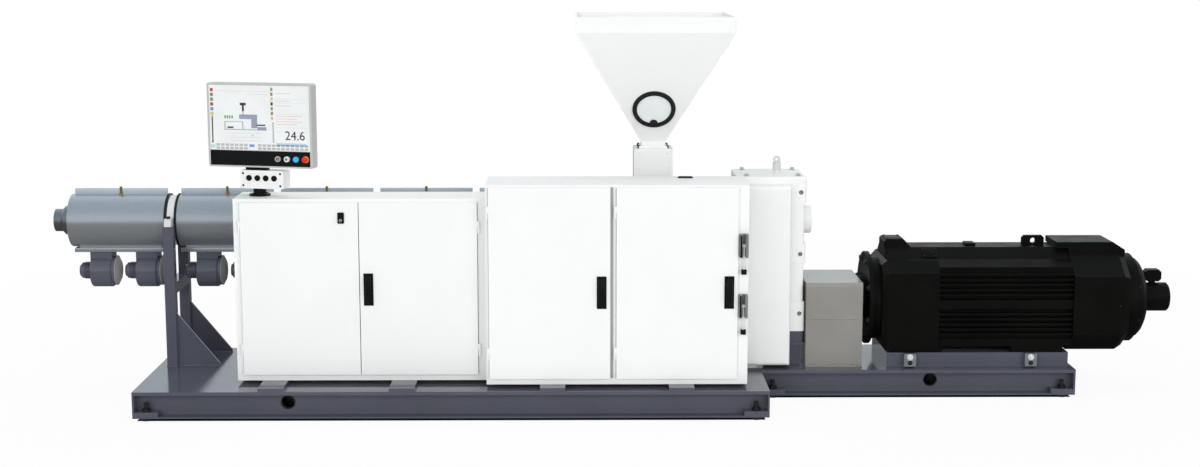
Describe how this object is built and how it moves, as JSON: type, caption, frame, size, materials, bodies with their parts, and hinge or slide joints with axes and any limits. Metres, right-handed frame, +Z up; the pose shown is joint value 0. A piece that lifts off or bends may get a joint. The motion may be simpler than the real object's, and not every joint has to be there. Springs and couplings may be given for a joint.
{
  "type": "plastic extruder",
  "caption": "Single-screw plastic extruder with heated barrel, side blowers, square feed hopper, gearbox, motor, control cabinets and swivel operator panel on a welded base.",
  "frame": {"origin": "centre of the bounding box footprint, on the floor", "axes": "+X along the screw from the die end to the motor end, -Y out of the cabinet doors, +Z up"},
  "size_m": [6.589, 1.308, 2.203],
  "materials": {
    "slate_paint": "semi-gloss slate blue-grey enamel",
    "white_paint": "satin white powder coat",
    "black_steel": "black oxide steel",
    "galvanised": "galvanised sheet",
    "black_plastic": "black moulded plastic",
    "grey_plastic": "light grey housing",
    "zinc": "zinc plated steel",
    "screen_glass": "lit display behind glass",
    "steel": "machined steel",
    "cover_sheet": "satin stainless sheet",
    "brass": "machined brass",
    "light_steel": "bright painted steel",
    "cast_grey": "machined casting",
    "clear_glass": "clear glass",
    "black_rubber": "black rubber",
    "guard_beige": "warm grey paint",
    "motor_black": "gloss black enamel"
  },
  "bodies": {
    "machine": {"main_base_rails": "slate_paint", "main_base_cross_plates": "slate_paint", "main_base_deck": "slate_paint", "motor_base_rails": "slate_paint", "motor_base_cross_plates": "slate_paint", "motor_base_deck": "slate_paint", "levelling_jacks": "black_steel", "cabinet_pads": "slate_paint", "control_cabinet": "white_paint", "cabinet_mounting_plates": "galvanised", "door_hinge_seats": "white_paint", "drive_cabinet": "white_paint", "switch_housings": "grey_plastic", "panel_swivel": "black_plastic", "barrel": "steel", "screw": "steel", "zone_covers": "cover_sheet", "zone_blowers": "slate_paint", "zone_probes": "brass", "barrel_stand": "slate_paint", "barrel_clamp": "light_steel", "feed_housing": "cast_grey", "feed_chute": "white_paint", "hopper_neck": "white_paint", "hopper_funnel": "white_paint", "hopper_rim_band": "white_paint", "sight_glass": "clear_glass", "sight_glass_ring": "black_rubber", "gearbox": "white_paint", "gearbox_pedestal": "slate_paint", "gearbox_side_cover": "white_paint", "coupling_guard": "guard_beige", "motor_pedestal": "slate_paint", "motor_adjusters": "zinc", "motor_frame": "motor_black", "motor_terminal_box": "motor_black", "motor_fan_cowl": "motor_black", "motor_end_bell": "motor_black", "motor_encoder": "motor_black"},
    "control_left_door_body": {"control_left_door": "white_paint", "control_key_switch": "black_plastic"},
    "control_right_door_body": {"control_right_door": "white_paint", "control_door_handle": "black_plastic"},
    "drive_left_door_body": {"drive_left_door": "white_paint", "drive_left_handle": "black_plastic"},
    "drive_right_door_body": {"drive_right_door": "white_paint", "drive_right_handle": "black_plastic"},
    "panel_body": {"panel_button_box": "white_paint", "panel_push_buttons": "black_plastic", "panel_tilt_bar": "black_plastic", "panel_monitor": "grey_plastic", "panel_screen": "screen_glass", "panel_key_strip": "black_plastic"},
    "upper_switch_body": {"upper_switch_lever": "zinc"},
    "lower_switch_body": {"lower_switch_lever": "zinc"}
  },
  "joints": [
    {"name": "control_left_door_hinge", "type": "hinge", "parent": "machine", "child": "control_left_door_body", "pos_m": [-2.0945, -0.472, 0.7], "axis": [0, 0, -1], "range_deg": [0, 120]},
    {"name": "control_right_door_hinge", "type": "hinge", "parent": "machine", "child": "control_right_door_body", "pos_m": [-0.7675, -0.472, 0.7], "axis": [0, 0, 1], "range_deg": [0, 90]},
    {"name": "drive_left_door_hinge", "type": "hinge", "parent": "machine", "child": "drive_left_door_body", "pos_m": [-0.7165, -0.58, 0.7], "axis": [0, 0, -1], "range_deg": [0, 90]},
    {"name": "drive_right_door_hinge", "type": "hinge", "parent": "machine", "child": "drive_right_door_body", "pos_m": [-0.013, -0.58, 0.7], "axis": [0, 0, -1], "range_deg": [0, 120]},
    {"name": "panel_swivel_joint", "type": "hinge", "parent": "machine", "child": "panel_body", "pos_m": [-2.0005, -0.304, 1.3], "axis": [0, 0, 1], "range_deg": [-76, 104]},
    {"name": "upper_switch_throw", "type": "hinge", "parent": "machine", "child": "upper_switch_body", "pos_m": [0.6965, -0.589, 0.9675], "axis": [-1, 0, 0], "range_deg": [0, 120]},
    {"name": "lower_switch_throw", "type": "hinge", "parent": "machine", "child": "lower_switch_body", "pos_m": [0.6965, -0.589, 0.6305], "axis": [-1, 0, 0], "range_deg": [0, 120]}
  ]
}
